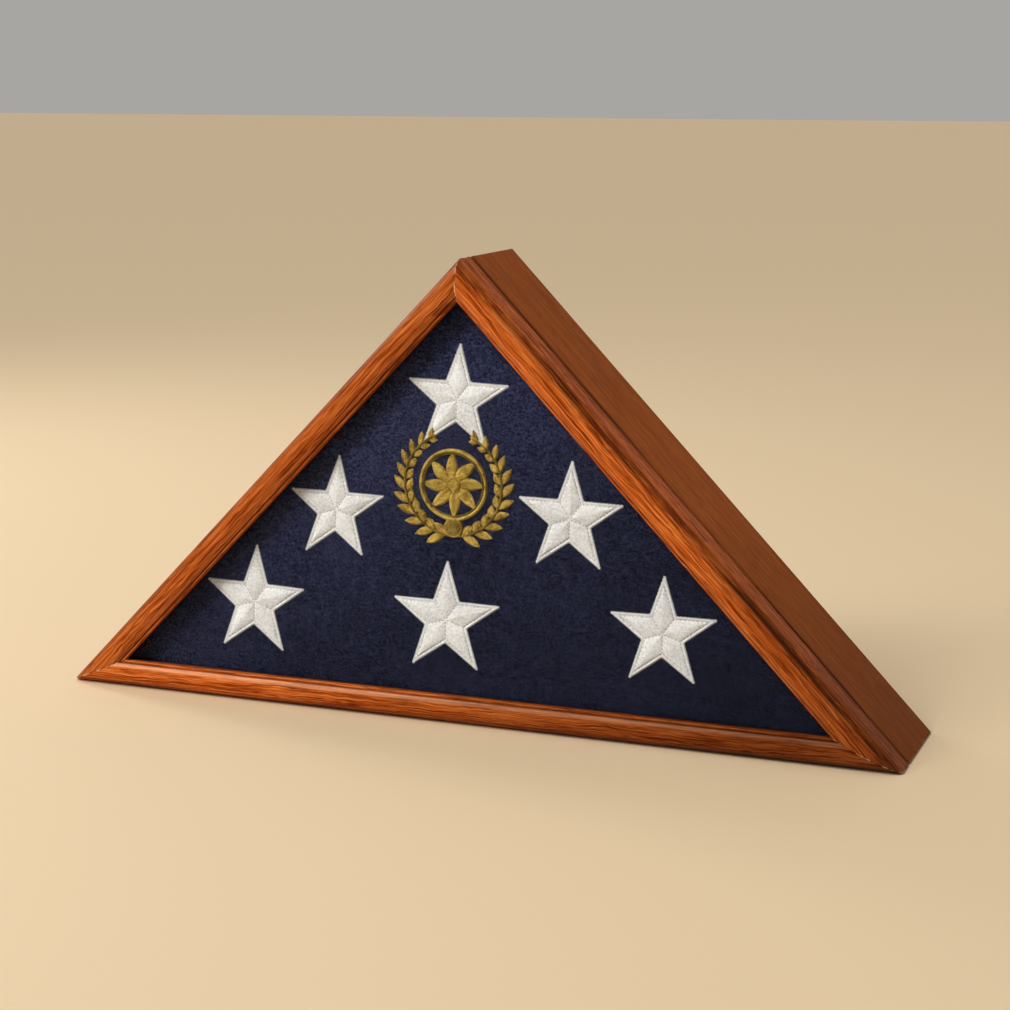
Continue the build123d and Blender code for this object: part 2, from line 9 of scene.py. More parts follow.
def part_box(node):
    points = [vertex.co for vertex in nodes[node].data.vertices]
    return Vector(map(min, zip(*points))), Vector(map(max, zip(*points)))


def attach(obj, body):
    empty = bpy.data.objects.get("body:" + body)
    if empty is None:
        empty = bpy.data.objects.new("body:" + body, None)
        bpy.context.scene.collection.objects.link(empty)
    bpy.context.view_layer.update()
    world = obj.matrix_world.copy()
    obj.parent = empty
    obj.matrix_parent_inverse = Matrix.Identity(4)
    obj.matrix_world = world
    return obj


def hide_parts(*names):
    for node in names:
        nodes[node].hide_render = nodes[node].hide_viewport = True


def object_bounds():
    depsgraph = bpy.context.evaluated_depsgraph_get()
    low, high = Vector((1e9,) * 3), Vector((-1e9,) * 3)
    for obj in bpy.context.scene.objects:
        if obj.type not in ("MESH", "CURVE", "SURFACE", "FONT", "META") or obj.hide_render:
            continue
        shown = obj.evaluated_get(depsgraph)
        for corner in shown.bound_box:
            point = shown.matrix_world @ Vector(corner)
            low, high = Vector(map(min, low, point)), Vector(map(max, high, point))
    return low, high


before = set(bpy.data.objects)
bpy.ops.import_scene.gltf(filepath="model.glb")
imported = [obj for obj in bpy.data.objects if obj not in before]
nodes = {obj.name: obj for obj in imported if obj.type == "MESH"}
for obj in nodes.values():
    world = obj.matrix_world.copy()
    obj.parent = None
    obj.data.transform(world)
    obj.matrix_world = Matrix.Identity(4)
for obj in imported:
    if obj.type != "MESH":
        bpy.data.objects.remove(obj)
cad_low, cad_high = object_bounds()
MM = 0.001

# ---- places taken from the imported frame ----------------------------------
FRONT = cad_low.y
PAD_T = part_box("case_bottom")[0].z
HALF_W = cad_high.x
CASE_H = cad_high.z - PAD_T
SLANT = math.hypot(HALF_W, CASE_H)
SIN_B, COS_B = CASE_H / SLANT, HALF_W / SLANT
BETA = math.atan2(CASE_H, HALF_W)
flag_low, flag_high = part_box("folded_flag")
FLAG_FACE = flag_low.y
STOP_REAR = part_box("glazing_stop_bottom")[1].y
GLASS_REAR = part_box("glass_pane")[1].y
JOINT_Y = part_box("front_rail_left")[1].y
LINING_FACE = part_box("door_lining")[0].y
DOOR_STOP_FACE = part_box("door_stop_left")[0].y


def inset(x, z):
    """Distance inwards from the nearest of the case's three outer sides."""
    slanted = (HALF_W - np.abs(x)) * SIN_B - (z - PAD_T) * COS_B
    return np.minimum(slanted, z - PAD_T)


def smooth(t):
    t = np.clip(t, 0.0, 1.0)
    return t * t * (3 - 2 * t)


# ---- materials -----------------------------------------------------------
class Tree:
    """A material's node tree, with short ways to add the nodes used here."""

    def __init__(self, name):
        self.material = bpy.data.materials.new(name)
        self.material.use_nodes = True
        self.tree = self.material.node_tree
        self.tree.nodes.clear()
        self.output = self.tree.nodes.new("ShaderNodeOutputMaterial")
        self.shader = self.tree.nodes.new("ShaderNodeBsdfPrincipled")
        self.tree.links.new(self.shader.outputs[0], self.output.inputs["Surface"])

    def node(self, kind, **settings):
        made = self.tree.nodes.new(kind)
        for key, value in settings.items():
            setattr(made, key, value)
        return made

    def link(self, value, socket):
        if hasattr(value, "is_output"):
            self.tree.links.new(value, socket)
        else:
            socket.default_value = value

    def sets(self, **values):
        for name, value in values.items():
            self.link(value, self.shader.inputs[name.replace("_", " ")])

    def place(self, source="Object"):
        return self.node("ShaderNodeTexCoord").outputs[source]

    def mapped(self, vector, location=(0, 0, 0), rotation=(0, 0, 0), scale=(1, 1, 1)):
        made = self.node("ShaderNodeMapping")
        self.link(vector, made.inputs["Vector"])
        made.inputs["Location"].default_value = location
        made.inputs["Rotation"].default_value = rotation
        made.inputs["Scale"].default_value = scale
        return made.outputs[0]

    def split(self, vector):
        made = self.node("ShaderNodeSeparateXYZ")
        self.link(vector, made.inputs[0])
        return made.outputs

    def noise(self, vector, scale=1.0, detail=3.0, rough=0.5, warp=0.0):
        made = self.node("ShaderNodeTexNoise")
        self.link(vector, made.inputs["Vector"])
        made.inputs["Scale"].default_value = scale
        made.inputs["Detail"].default_value = detail
        made.inputs["Roughness"].default_value = rough
        made.inputs["Distortion"].default_value = warp
        return made.outputs["Fac"]

    def math(self, operation, a, b=0.0, c=0.0, clamp=False):
        made = self.node("ShaderNodeMath", operation=operation, use_clamp=clamp)
        for value, socket in zip((a, b, c), made.inputs):
            self.link(value, socket)
        return made.outputs[0]

    def ramp(self, fac, *stops):
        made = self.node("ShaderNodeValToRGB")
        self.link(fac, made.inputs[0])
        marks = made.color_ramp.elements
        while len(marks) < len(stops):
            marks.new(0.5)
        for mark, (at, colour) in zip(marks, stops):
            mark.position = at
            if not hasattr(colour, "__len__"):
                colour = (colour,) * 3
            mark.color = (*colour, 1.0)
        return made.outputs["Color"]

    def span(self, value, low, high, to_low=0.0, to_high=1.0):
        made = self.node("ShaderNodeMapRange")
        for given, socket in zip((value, low, high, to_low, to_high), made.inputs):
            self.link(given, socket)
        return made.outputs[0]

    def mix(self, fac, a, b, blend="MIX"):
        made = self.node("ShaderNodeMix", data_type="RGBA", blend_type=blend)
        self.link(fac, made.inputs[0])
        for value, socket in ((a, made.inputs[6]), (b, made.inputs[7])):
            if not hasattr(value, "is_output") and len(value) == 3:
                value = (*value, 1.0)
            self.link(value, socket)
        return made.outputs[2]

    def bump(self, height, distance, strength=1.0, normal=None):
        made = self.node("ShaderNodeBump")
        made.inputs["Strength"].default_value = strength
        made.inputs["Distance"].default_value = distance
        self.link(height, made.inputs["Height"])
        if normal is not None:
            self.link(normal, made.inputs["Normal"])
        return made.outputs[0]

    def near(self, value, at, width):
        """1 where value is at, fading to 0 a width away."""
        gap = self.math("ABSOLUTE", self.math("SUBTRACT", value, at))
        return self.span(gap, width, width * 0.35)


# How each wooden side lies: turning by the angle brings its grain along X, and the inset from
# the outer edge is the offset less the turned height.
SLANT_OFFSET = HALF_W * SIN_B + PAD_T * COS_B
LIES = {
    "left": (BETA, SLANT_OFFSET),
    "right": (-BETA, SLANT_OFFSET),
    "bottom": (math.pi, -PAD_T),
}


def oak(name, side, seed, moulded):
    """Stained open-pored oak. The grain runs along the side that the piece belongs to."""
    t = Tree(name)
    angle, offset = LIES[side]
    place = t.place()
    turned = t.mapped(place, rotation=(0, angle, 0))
    strewn = t.mapped(turned, location=(seed * 0.37, seed * 0.11, seed * 0.23))
    swayed = t.noise(t.mapped(strewn, scale=(9, 22, 22)), 1, 2, 0.5)
    ripple = t.noise(t.mapped(strewn, scale=(75, 130, 130)), 1, 1, 0.5)
    ripple = t.math("MULTIPLY", ripple, 0.0026 if moulded else 0.0014)
    sway = t.node("ShaderNodeCombineXYZ")
    t.link(t.math("MULTIPLY_ADD", swayed, 0.009, ripple), sway.inputs[2])
    wavy = t.node("ShaderNodeVectorMath", operation="ADD")
    t.link(strewn, wavy.inputs[0])
    t.link(sway.outputs[0], wavy.inputs[1])
    wavy = wavy.outputs[0]
    broad = t.noise(t.mapped(wavy, scale=(1.4, 24, 24)), 1, 2, 0.5, 0.5)
    rings = t.math("PINGPONG", t.math("MULTIPLY", broad, 9.0), 0.5)
    streaks = t.noise(t.mapped(wavy, scale=(24, 1150, 1150)), 1, 2, 0.6)
    bands = t.noise(t.mapped(wavy, scale=(8, 330, 330)), 1, 2, 0.5)
    fine = t.noise(t.mapped(wavy, scale=(40, 2100, 2100)), 1, 2, 0.6)
    pores = t.noise(t.mapped(wavy, scale=(44, 1500, 1500)), 1, 2, 0.7)
    level = t.math("MULTIPLY_ADD", streaks, 0.56, t.math("MULTIPLY", bands, 0.16))
    level = t.math("MULTIPLY_ADD", fine, 0.26, level)
    level = t.math("MULTIPLY_ADD", rings, 0.08, level)
    if moulded:
        stain = [(0.15, 0.020, 0.001), (0.33, 0.062, 0.007), (0.46, 0.101, 0.014), (0.61, 0.170, 0.036)]
        spread = (0.420, 0.480, 0.530, 0.60)
    else:
        stain = [(0.29, 0.060, 0.006), (0.40, 0.092, 0.010), (0.46, 0.114, 0.014), (0.54, 0.145, 0.021)]
        spread = (0.41, 0.48, 0.53, 0.61)
    colour = t.ramp(level, *zip(spread, stain))
    open_pores = t.span(pores, 0.39, 0.33)
    dark = (0.065, 0.012, 0.002)
    colour = t.mix(t.math("MULTIPLY", open_pores, 0.72 if moulded else 0.4), colour, dark)
    x, y, z = t.split(turned)
    here_x, here_y, here_z = t.split(place)
    u = t.math("SUBTRACT", offset, z)
    ragged = t.noise(t.mapped(strewn, scale=(11, 90, 90)), 1, 3, 0.6)
    # A darker ragged band along the frame-to-case joint.
    joint = t.near(here_y, JOINT_Y, 5.5 * MM)
    joint = t.math("MULTIPLY", joint, t.span(ragged, 0.38, 0.60, 0.12, 0.75))
    # Painted shade: a narrow dark line in the groove where the front frame meets the case.
    groove = t.near(here_y, JOINT_Y, 1.9 * MM)
    dark_bands_and_painted_shade = t.math("MAXIMUM", joint, t.math("MULTIPLY", groove, 0.6))
    if moulded:
        # Painted shade: a dark line in the quirk beside the sight edge.
        quirk = t.near(u, 18.1 * MM, 0.55 * MM)
        quirk = t.math("MULTIPLY", quirk, t.span(here_y, FRONT + 5.5 * MM, FRONT + 4.5 * MM))
        dark_bands_and_painted_shade = t.math("MAXIMUM", dark_bands_and_painted_shade, t.math("MULTIPLY", quirk, 0.55))
        # Painted shade on the inner side of the lip at the sight edge.
        lip = t.span(here_y, FRONT + 5.6 * MM, FRONT + 8.2 * MM)
        lip = t.math("MULTIPLY", lip, t.span(u, 19.5 * MM, 20.3 * MM))
        dark_bands_and_painted_shade = t.math("MAXIMUM", dark_bands_and_painted_shade, t.math("MULTIPLY", lip, 0.85))
        # A dark band on the outer round-over, partly dark grain and partly painted shade, strongest on the
        # right rail, which turns away from the light.
        shoulder = t.near(here_y, FRONT + 5.2 * MM, 4.4 * MM)
        shoulder = t.math("MULTIPLY", shoulder, t.span(u, 6.0 * MM, 3.6 * MM))
        strength = {"right": 0.95, "left": 0.35, "bottom": 0.5}[side]
        shoulder = t.math("MULTIPLY", shoulder, t.span(ragged, 0.36, 0.56, 0.15, strength))
        dark_bands_and_painted_shade = t.math("MAXIMUM", dark_bands_and_painted_shade, shoulder)
    else:
        heel = t.span(here_y, -FRONT - 2.4 * MM, -FRONT - 0.8 * MM)
        dark_bands_and_painted_shade = t.math("MAXIMUM", dark_bands_and_painted_shade, t.math("MULTIPLY", heel, 0.45))
    # Dark brown over these marks: painted shade in the groove, quirk, lip and round-over, partly dark grain
    # on the round-over, and darker bands at the joint and at the boards' rear edge.
    colour = t.mix(dark_bands_and_painted_shade, colour, (0.042, 0.009, 0.002))
    half = math.sin(BETA / 2), math.cos(BETA / 2)
    from_corner = t.math("SUBTRACT", HALF_W, t.math("ABSOLUTE", here_x))
    across = t.math("MULTIPLY_ADD", from_corner, half[0], PAD_T * half[1])
    across = t.math("SUBTRACT", across, t.math("MULTIPLY", here_z, half[1]))
    line = t.near(across, 0.0, 0.4 * MM)
    if side != "bottom":
        line = t.math("MAXIMUM", line, t.near(here_x, 0.0, 0.45 * MM))
    # Mitre and apex lines: broken between a dark gap and a light colour that is a painted glint on the
    # mitre.
    broken = t.span(t.noise(t.mapped(place, scale=(150, 150, 150)), 1, 2), 0.44, 0.56)
    painted_glint_and_dark_gap = t.mix(broken, (0.07, 0.016, 0.005), (0.78, 0.50, 0.34))
    colour = t.mix(t.math("MULTIPLY", line, 0.85 if moulded else 0.35), colour, painted_glint_and_dark_gap)
    if moulded:
        # A lighter band along the crown: a painted highlight, strong on the bottom rail, which faces up to
        # the light, and faint on the other rails as wear.
        highlight_break = t.noise(t.mapped(strewn, scale=(16, 60, 60)), 1, 4, 0.6)
        crown = t.near(u, 16.6 * MM, 2.2 * MM)
        wear_and_painted_highlight = t.math("MULTIPLY", crown, t.span(highlight_break, 0.35, 0.70, 0.25, 0.7))
        wear_and_painted_highlight = t.math("MULTIPLY", wear_and_painted_highlight, 0.75 if side == "bottom" else 0.12)
        colour = t.mix(wear_and_painted_highlight, colour, (0.80, 0.36, 0.17))
    # Painted light falloff: each piece is multiplied lighter at its left and darker towards the right, as
    # the light falls from the left.
    if side == "bottom":
        along = t.span(here_x, -0.20, 0.22, 1.36, 0.46)
    elif side == "right":
        along = t.span(here_x, 0.17, 0.30, 1.28 if moulded else 0.90, 0.66 if moulded else 0.55)
    else:
        along = t.span(here_x, -0.30, -0.02, 1.0 if moulded else 0.76, 0.94 if moulded else 0.72)
    shade = t.node("ShaderNodeCombineXYZ")
    for socket in shade.inputs:
        t.link(along, socket)
    colour = t.mix(1.0, colour, shade.outputs[0], "MULTIPLY")
    t.link(colour, t.shader.inputs["Base Color"])
    smudge = t.noise(t.mapped(place, scale=(40, 40, 40)), 1, 3, 0.6)
    gloss = 0.26 if moulded else 0.36
    rough = t.span(t.math("ADD", streaks, smudge), 0.7, 1.3, gloss, gloss + 0.16)
    t.link(rough, t.shader.inputs["Roughness"])
    relief = t.math("SUBTRACT", t.math("MULTIPLY", streaks, 0.8), open_pores)
    relief = t.math("SUBTRACT", relief, t.math("MULTIPLY", line, 1.2))
    normal = t.bump(relief, 0.00013, 0.5 if moulded else 0.3)
    t.link(normal, t.shader.inputs["Normal"])
    if moulded:
        t.sets(Coat_Weight=0.10, Coat_Roughness=0.16, Specular_IOR_Level=0.015)
    else:
        t.sets(Coat_Weight=0.01, Coat_Roughness=0.2, Specular_IOR_Level=0.02)
    return t.material


def veneer(name):
    """Brown satin veneer of the back door, grain along X."""
    t = Tree(name)
    place = t.place()
    broad = t.noise(t.mapped(place, scale=(1.3, 11, 11)), 1, 2, 0.5, 1.2)
    rings = t.math("PINGPONG", t.math("MULTIPLY", broad, 11.0), 0.5)
    streaks = t.noise(t.mapped(place, scale=(6, 420, 420)), 1, 3, 0.6)
    level = t.math("MULTIPLY_ADD", rings, 0.8, t.math("MULTIPLY", streaks, 0.6))
    stain = (0.25, (0.055, 0.014, 0.004)), (0.5, (0.17, 0.05, 0.014)), (0.8, (0.30, 0.10, 0.03))
    colour = t.ramp(level, *stain)
    pores = t.span(t.noise(t.mapped(place, scale=(38, 1300, 1300)), 1, 2, 0.7), 0.36, 0.29)
    colour = t.mix(t.math("MULTIPLY", pores, 0.7), colour, (0.02, 0.006, 0.002))
    t.link(colour, t.shader.inputs["Base Color"])
    smudge = t.noise(t.mapped(place, scale=(9, 9, 9)), 1, 4, 0.6)
    t.link(t.span(smudge, 0.3, 0.7, 0.38, 0.56), t.shader.inputs["Roughness"])
    relief = t.math("SUBTRACT", streaks, pores)
    t.link(t.bump(relief, 0.00012, 0.5), t.shader.inputs["Normal"])
    t.sets(Coat_Weight=0.2, Coat_Roughness=0.25)
    return t.material


def plain_wood(name, low, high, gloss):
    """Small strips and pegs of wood."""
    t = Tree(name)
    place = t.place()
    streaks = t.noise(t.mapped(place, scale=(60, 420, 60)), 1, 4, 0.6)
    t.link(t.ramp(streaks, (0.35, low), (0.68, high)), t.shader.inputs["Base Color"])
    t.link(t.span(streaks, 0.3, 0.7, gloss, gloss + 0.2), t.shader.inputs["Roughness"])
    t.link(t.bump(streaks, 0.0001, 0.5), t.shader.inputs["Normal"])
    return t.material


def metal(name, low, high, rough, brush=(900, 60, 900)):
    """A plated or solid metal with faint brushing, finger marks and tarnish."""
    t = Tree(name)
    place = t.place()
    lines = t.noise(t.mapped(place, scale=brush), 1, 3, 0.6)
    marks = t.noise(t.mapped(place, scale=(120, 120, 120)), 1, 4, 0.65)
    tarnish = t.math("MULTIPLY_ADD", lines, 0.35, t.math("MULTIPLY", marks, 0.65))
    t.link(t.ramp(tarnish, (0.34, low), (0.6, high)), t.shader.inputs["Base Color"])
    t.link(t.span(tarnish, 0.35, 0.65, rough + 0.14, rough), t.shader.inputs["Roughness"])
    t.link(t.bump(lines, 0.00003, 0.35), t.shader.inputs["Normal"])
    t.sets(Metallic=1.0)
    return t.material


def weave_height(t, place, pitch):
    """Plain weave over and under, in the plane of X and Z."""
    x, y, z = t.split(place)
    turns = 2 * math.pi / pitch
    warp = t.math("SINE", t.math("MULTIPLY", x, turns))
    weft = t.math("SINE", t.math("MULTIPLY", z, turns))
    over = t.math("MULTIPLY", warp, weft)
    ridges = t.math("ADD", t.math("ABSOLUTE", warp), t.math("ABSOLUTE", weft))
    return t.math("MULTIPLY_ADD", over, 0.5, t.math("MULTIPLY", ridges, 0.5))


def navy_cotton():
    t = Tree("navy_cotton")
    place = t.place()
    weave = weave_height(t, place, 0.85 * MM)
    fuzz = t.noise(t.mapped(place, scale=(650, 650, 650)), 1, 2, 0.7)
    grain = t.noise(t.mapped(place, scale=(330, 330, 330)), 1, 2, 0.6)
    cloud = t.noise(t.mapped(place, scale=(10, 10, 10)), 1, 4, 0.55)
    fibre = t.noise(t.mapped(place, rotation=(0, 0.5, 0), scale=(160, 900, 900)), 1, 3, 0.6)
    level = t.math("MULTIPLY_ADD", fuzz, 0.56, t.math("MULTIPLY", cloud, 0.12))
    level = t.math("MULTIPLY_ADD", grain, 0.07, level)
    level = t.math("MULTIPLY_ADD", fibre, 0.25, level)
    colour = t.ramp(
        level,
        (0.41, (0.0034, 0.0042, 0.0128)),
        (0.50, (0.0108, 0.0130, 0.0345)),
        (0.59, (0.0265, 0.0310, 0.0730)),
    )
    x, y, z = t.split(place)
    # Painted light falloff: the flag is multiplied lighter at the left and at the top, darker to the right
    # and low down.
    painted_flag_falloff = t.span(x, -0.24, 0.24, 1.24, 0.62)
    painted_flag_falloff = t.math("MULTIPLY", painted_flag_falloff, t.span(z, 0.05, 0.25, 0.66, 1.36))
    shade = t.node("ShaderNodeCombineXYZ")
    for socket in shade.inputs:
        t.link(painted_flag_falloff, socket)
    colour = t.mix(1.0, colour, shade.outputs[0], "MULTIPLY")
    lint = t.span(t.noise(t.mapped(place, scale=(300, 300, 300)), 1, 2, 0.5), 0.70, 0.76)
    colour = t.mix(t.math("MULTIPLY", lint, 0.05), colour, (0.10, 0.11, 0.15))
    t.link(colour, t.shader.inputs["Base Color"])
    height = t.math("MULTIPLY_ADD", fuzz, 1.2, t.math("MULTIPLY", weave, 0.5))
    t.link(t.bump(height, 0.00026, 0.55), t.shader.inputs["Normal"])
    t.link(t.span(fuzz, 0.3, 0.7, 0.82, 0.95), t.shader.inputs["Roughness"])
    t.sets(Sheen_Weight=0.02, Sheen_Roughness=0.4, Specular_IOR_Level=0.04)
    t.shader.inputs["Sheen Tint"].default_value = (0.45, 0.55, 1.0, 1.0)
    return t.material


def white_cotton():
    t = Tree("white_cotton")
    place = t.place()
    weave = weave_height(t, place, 0.7 * MM)
    fuzz = t.noise(t.mapped(place, scale=(640, 640, 640)), 1, 3, 0.65)
    cloud = t.noise(t.mapped(place, scale=(60, 60, 60)), 1, 3, 0.6)
    slub = t.noise(t.mapped(place, scale=(110, 800, 800)), 1, 3, 0.6)
    level = t.math("MULTIPLY_ADD", fuzz, 0.60, t.math("MULTIPLY", cloud, 0.25))
    level = t.math("MULTIPLY_ADD", slub, 0.15, level)
    colour = t.ramp(
        level,
        (0.38, (0.47, 0.46, 0.468)),
        (0.50, (0.62, 0.61, 0.615)),
        (0.62, (0.74, 0.73, 0.73)),
    )
    t.link(colour, t.shader.inputs["Base Color"])
    height = t.math("MULTIPLY_ADD", fuzz, 0.9, t.math("MULTIPLY", weave, 0.55))
    t.link(t.bump(height, 0.00024, 0.5), t.shader.inputs["Normal"])
    t.link(t.span(fuzz, 0.3, 0.7, 0.78, 0.92), t.shader.inputs["Roughness"])
    t.sets(Sheen_Weight=0.06, Sheen_Roughness=0.5, Specular_IOR_Level=0.15)
    return t.material


def stitch_thread(name, low, high):
    t = Tree(name)
    place = t.place()
    twist = t.noise(t.mapped(place, scale=(1400, 1400, 1400)), 1, 2, 0.6)
    t.link(t.ramp(twist, (0.35, low), (0.65, high)), t.shader.inputs["Base Color"])
    t.link(t.bump(twist, 0.0001, 0.6), t.shader.inputs["Normal"])
    t.link(t.span(twist, 0.3, 0.7, 0.55, 0.75), t.shader.inputs["Roughness"])
    return t.material


THREAD_PITCH = 1.15


def gold_thread(name, tone):
    """Satin-stitched metallic thread. U runs along each shape, V across it, both in millimetres."""
    t = Tree(name)
    place = t.place()
    u, v = t.split(t.place("UV"))[:2]
    slant = t.math("MULTIPLY_ADD", t.math("ABSOLUTE", v), 0.8, u)
    wander = t.noise(t.mapped(place, scale=(380, 380, 380)), 1, 2)
    slant = t.math("ADD", slant, t.math("MULTIPLY", wander, 0.9))
    strand = t.math("ABSOLUTE", t.math("SINE", t.math("MULTIPLY", slant, math.pi / THREAD_PITCH)))
    fuzz = t.noise(t.mapped(place, scale=(900, 900, 900)), 1, 3, 0.7)
    cloud = t.noise(t.mapped(place, scale=(150, 150, 150)), 1, 3, 0.6)
    # Painted shade and highlight: the colour darkens to near black in the troughs between strands and
    # brightens to a painted highlight on the strand crests.
    level = t.math("MULTIPLY_ADD", fuzz, 0.48, t.math("MULTIPLY", strand, 0.30))
    level = t.math("MULTIPLY_ADD", cloud, 0.34, level)
    shades = ((0.030, 0.012, 0.001), (0.17, 0.088, 0.006), (0.42, 0.25, 0.028), (0.92, 0.68, 0.17))
    shades = [tuple(tone * c for c in shade) for shade in shades]
    colour = t.ramp(level, *zip((0.44, 0.54, 0.64, 0.76), shades))
    t.link(colour, t.shader.inputs["Base Color"])
    height = t.math("MULTIPLY_ADD", fuzz, 0.5, strand)
    t.link(t.bump(height, 0.0005, 0.9), t.shader.inputs["Normal"])
    t.link(t.span(fuzz, 0.3, 0.7, 0.34, 0.56), t.shader.inputs["Roughness"])
    t.sets(Metallic=0.3, Specular_IOR_Level=0.2)
    return t.material


def felt(name, low, high):
    t = Tree(name)
    place = t.place()
    fuzz = t.noise(t.mapped(place, scale=(420, 420, 420)), 1, 4, 0.7)
    cloud = t.noise(t.mapped(place, scale=(30, 30, 30)), 1, 3, 0.6)
    level = t.math("MULTIPLY_ADD", fuzz, 0.65, t.math("MULTIPLY", cloud, 0.35))
    t.link(t.ramp(level, (0.42, low), (0.58, high)), t.shader.inputs["Base Color"])
    t.link(t.bump(fuzz, 0.0005, 0.7), t.shader.inputs["Normal"])
    t.link(t.span(fuzz, 0.3, 0.7, 0.86, 0.98), t.shader.inputs["Roughness"])
    t.sets(Sheen_Weight=0.06, Sheen_Roughness=0.5, Specular_IOR_Level=0.1)
    return t.material


def clear_glass():
    """A low-reflection pane. Rays from lamps pass straight through it."""
    t = Tree("clear_glass")
    place = t.place()
    haze = t.noise(t.mapped(place, scale=(14, 14, 14)), 1, 4, 0.6)
    t.link(t.span(haze, 0.45, 0.75, 0.0, 0.035), t.shader.inputs["Roughness"])
    t.sets(Transmission_Weight=1.0, IOR=1.1)
    t.shader.inputs["Base Color"].default_value = (0.985, 0.995, 0.99, 1.0)
    clear = t.node("ShaderNodeBsdfTransparent")
    clear.inputs[0].default_value = (0.97, 0.985, 0.98, 1.0)
    chosen = t.node("ShaderNodeMixShader")
    path = t.node("ShaderNodeLightPath")
    t.tree.links.new(path.outputs["Is Shadow Ray"], chosen.inputs[0])
    t.tree.links.new(t.shader.outputs[0], chosen.inputs[1])
    t.tree.links.new(clear.outputs[0], chosen.inputs[2])
    t.tree.links.new(chosen.outputs[0], t.output.inputs["Surface"])
    return t.material


DARK_WOOD = plain_wood("dark_stained_wood", (0.012, 0.004, 0.002), (0.05, 0.016, 0.007), 0.4)
BARE_WOOD = plain_wood("bare_wood", (0.42, 0.25, 0.12), (0.68, 0.47, 0.27), 0.6)
BRASS = metal("brass", (0.50, 0.30, 0.08), (0.86, 0.62, 0.24), 0.2)
STEEL = metal("bright_steel", (0.34, 0.34, 0.35), (0.62, 0.62, 0.63), 0.3)
NICKEL = metal("nickel_plate", (0.5, 0.49, 0.47), (0.76, 0.75, 0.73), 0.16)
FELT = felt("dark_felt", (0.008, 0.008, 0.01), (0.035, 0.036, 0.042))
LINING = felt("lining_felt", (0.006, 0.010, 0.024), (0.030, 0.042, 0.080))
VENEER = veneer("door_veneer")
NAVY = navy_cotton()
WHITE = white_cotton()
WHITE_THREAD = stitch_thread("white_thread", (0.52, 0.51, 0.51), (0.82, 0.81, 0.80))
SEAM_THREAD = stitch_thread("seam_thread", (0.07, 0.068, 0.075), (0.22, 0.215, 0.22))
GOLD = gold_thread("gold_thread", 1.0)
DARK_GOLD = gold_thread("shaded_gold_thread", 0.5)
GLASS = clear_glass()


def wear(node, material):
    """Give a CAD node its finished material, in every slot."""
    mesh = nodes[node].data
    if not mesh.materials:
        mesh.materials.append(material)
    for slot in range(len(mesh.materials)):
        mesh.materials[slot] = material


for number, side in enumerate(("left", "right", "bottom")):
    wear(f"front_rail_{side}", oak(f"oak_rail_{side}", side, 1.3 + number, True))
    board = "case_bottom" if side == "bottom" else f"case_side_{side}"
    wear(board, oak(f"oak_board_{side}", side, 5.1 + number, False))
    wear(f"glazing_stop_{side}", DARK_WOOD)
for side in ("left", "right"):
    wear(f"corner_block_{side}", VENEER)
    wear(f"door_stop_{side}", DARK_WOOD)
    for part in ("case_leaf", "door_leaf", "pin"):
        wear(f"hinge_{side}_{part}", BRASS)
for node in ("hinge_case_screws", "hinge_door_screws", "door_knob", "knob_screw"):
    wear(node, BRASS)
for node in ("glazing_brads", "mitre_v_nails", "strike_discs"):
    wear(node, STEEL)
for node in ("joint_dowels", "mitre_splines"):
    wear(node, BARE_WOOD)
wear("catch_magnets", NICKEL)
wear("back_door_panel", VENEER)
wear("door_lining", LINING)
wear("foot_pads", FELT)
wear("glass_pane", GLASS)


# ---- meshes --------------------------------------------------------------
def piece(name, points, faces, materials, body, face_slots=None, uvs=None):
    """A new smooth-shaded object that rides on a body."""
    mesh = bpy.data.meshes.new(name)
    mesh.from_pydata([tuple(p) for p in points], [], [tuple(f) for f in faces])
    for material in materials:
        mesh.materials.append(material)
    if face_slots is not None:
        mesh.polygons.foreach_set("material_index", face_slots)
    mesh.polygons.foreach_set("use_smooth", [True] * len(mesh.polygons))
    if uvs is not None:
        layer = mesh.uv_layers.new(name="sewn")
        flat = [c for loop in mesh.loops for c in uvs[loop.vertex_index]]
        layer.data.foreach_set("uv", flat)
    mesh.update()
    made = bpy.data.objects.new(name, mesh)
    bpy.context.scene.collection.objects.link(made)
    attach(made, body)
    return made


def points_of(obj):
    co = np.zeros(len(obj.data.vertices) * 3)
    obj.data.vertices.foreach_get("co", co)
    return co.reshape(-1, 3)


def tree_over(*objects):
    """One search tree over several meshes, for finding the surface in front of the flag."""
    points, faces = [], []
    for obj in objects:
        base = len(points)
        points += [v.co.copy() for v in obj.data.vertices]
        faces += [[base + i for i in p.vertices] for p in obj.data.polygons]
    return BVHTree.FromPolygons(points, faces)


def surface_y(tree, x, z):
    """Depth of the first surface met from the front, at each point."""
    found = np.empty(len(x))
    for i, (a, b) in enumerate(zip(x, z)):
        hit = tree.ray_cast(Vector((a, FLAG_FACE - 0.006, b)), Vector((0, 1, 0)))
        found[i] = FLAG_FACE if hit[0] is None else min(hit[0].y, FLAG_FACE + 0.002)
    return found


# ---- folded flag ---------------------------------------------------------
FLAG_VOXEL = 4.5 * MM
FLAG_CAP = 4.0 * MM
EDGE_REACH = 26.0 * MM


